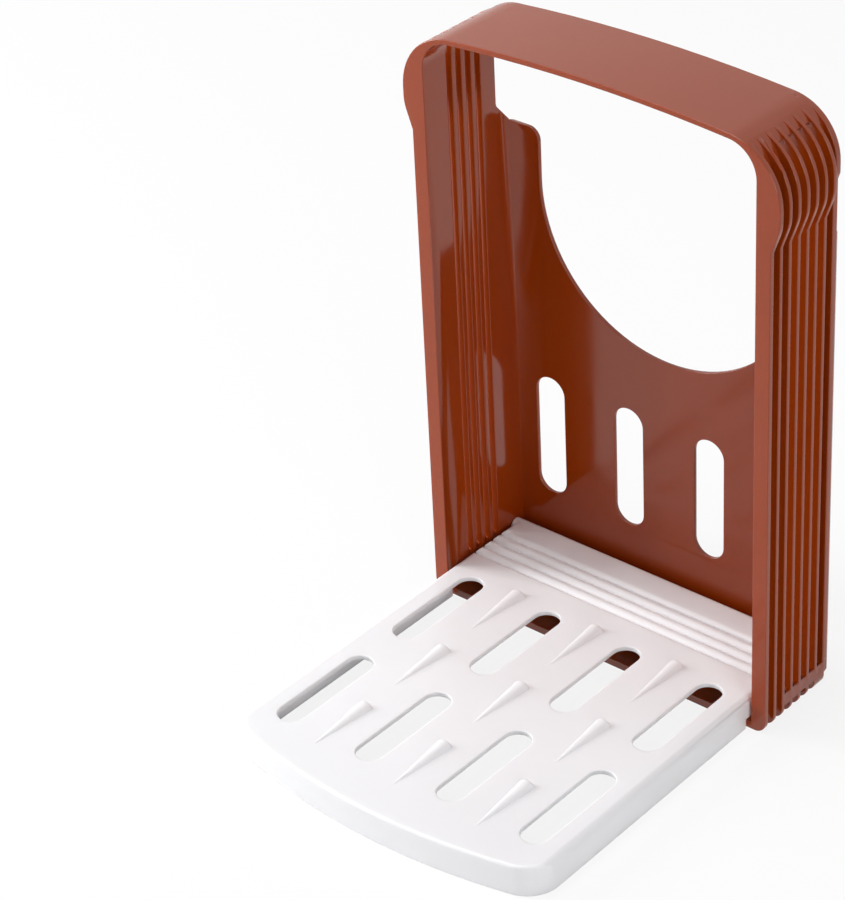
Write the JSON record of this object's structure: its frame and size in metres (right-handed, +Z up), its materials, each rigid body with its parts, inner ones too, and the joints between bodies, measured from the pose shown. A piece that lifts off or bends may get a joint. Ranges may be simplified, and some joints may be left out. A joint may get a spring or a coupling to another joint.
{
  "type": "bread slicer guide",
  "caption": "Slit arch frame with finned side walls and a ribbed tray that holds a loaf for slicing and folds up between the walls.",
  "frame": {"origin": "on the table, under the middle of the whole guide with its tray down", "axes": "+X to the right seen from the tray's side, +Y to the back, +Z up"},
  "size_m": [0.159, 0.173, 0.234],
  "materials": {
    "frame_plastic": "glossy reddish brown",
    "tray_plastic": "semi-gloss white"
  },
  "bodies": {
    "frame": {"slicing_frame": "frame_plastic"},
    "tray": {"folding_tray": "tray_plastic"}
  },
  "joints": [
    {"name": "tray_fold", "type": "hinge", "parent": "frame", "child": "tray", "pos_m": [0, 0.07965, 0.0094], "axis": [-1, 0, 0], "range_deg": [0, 90]}
  ]
}
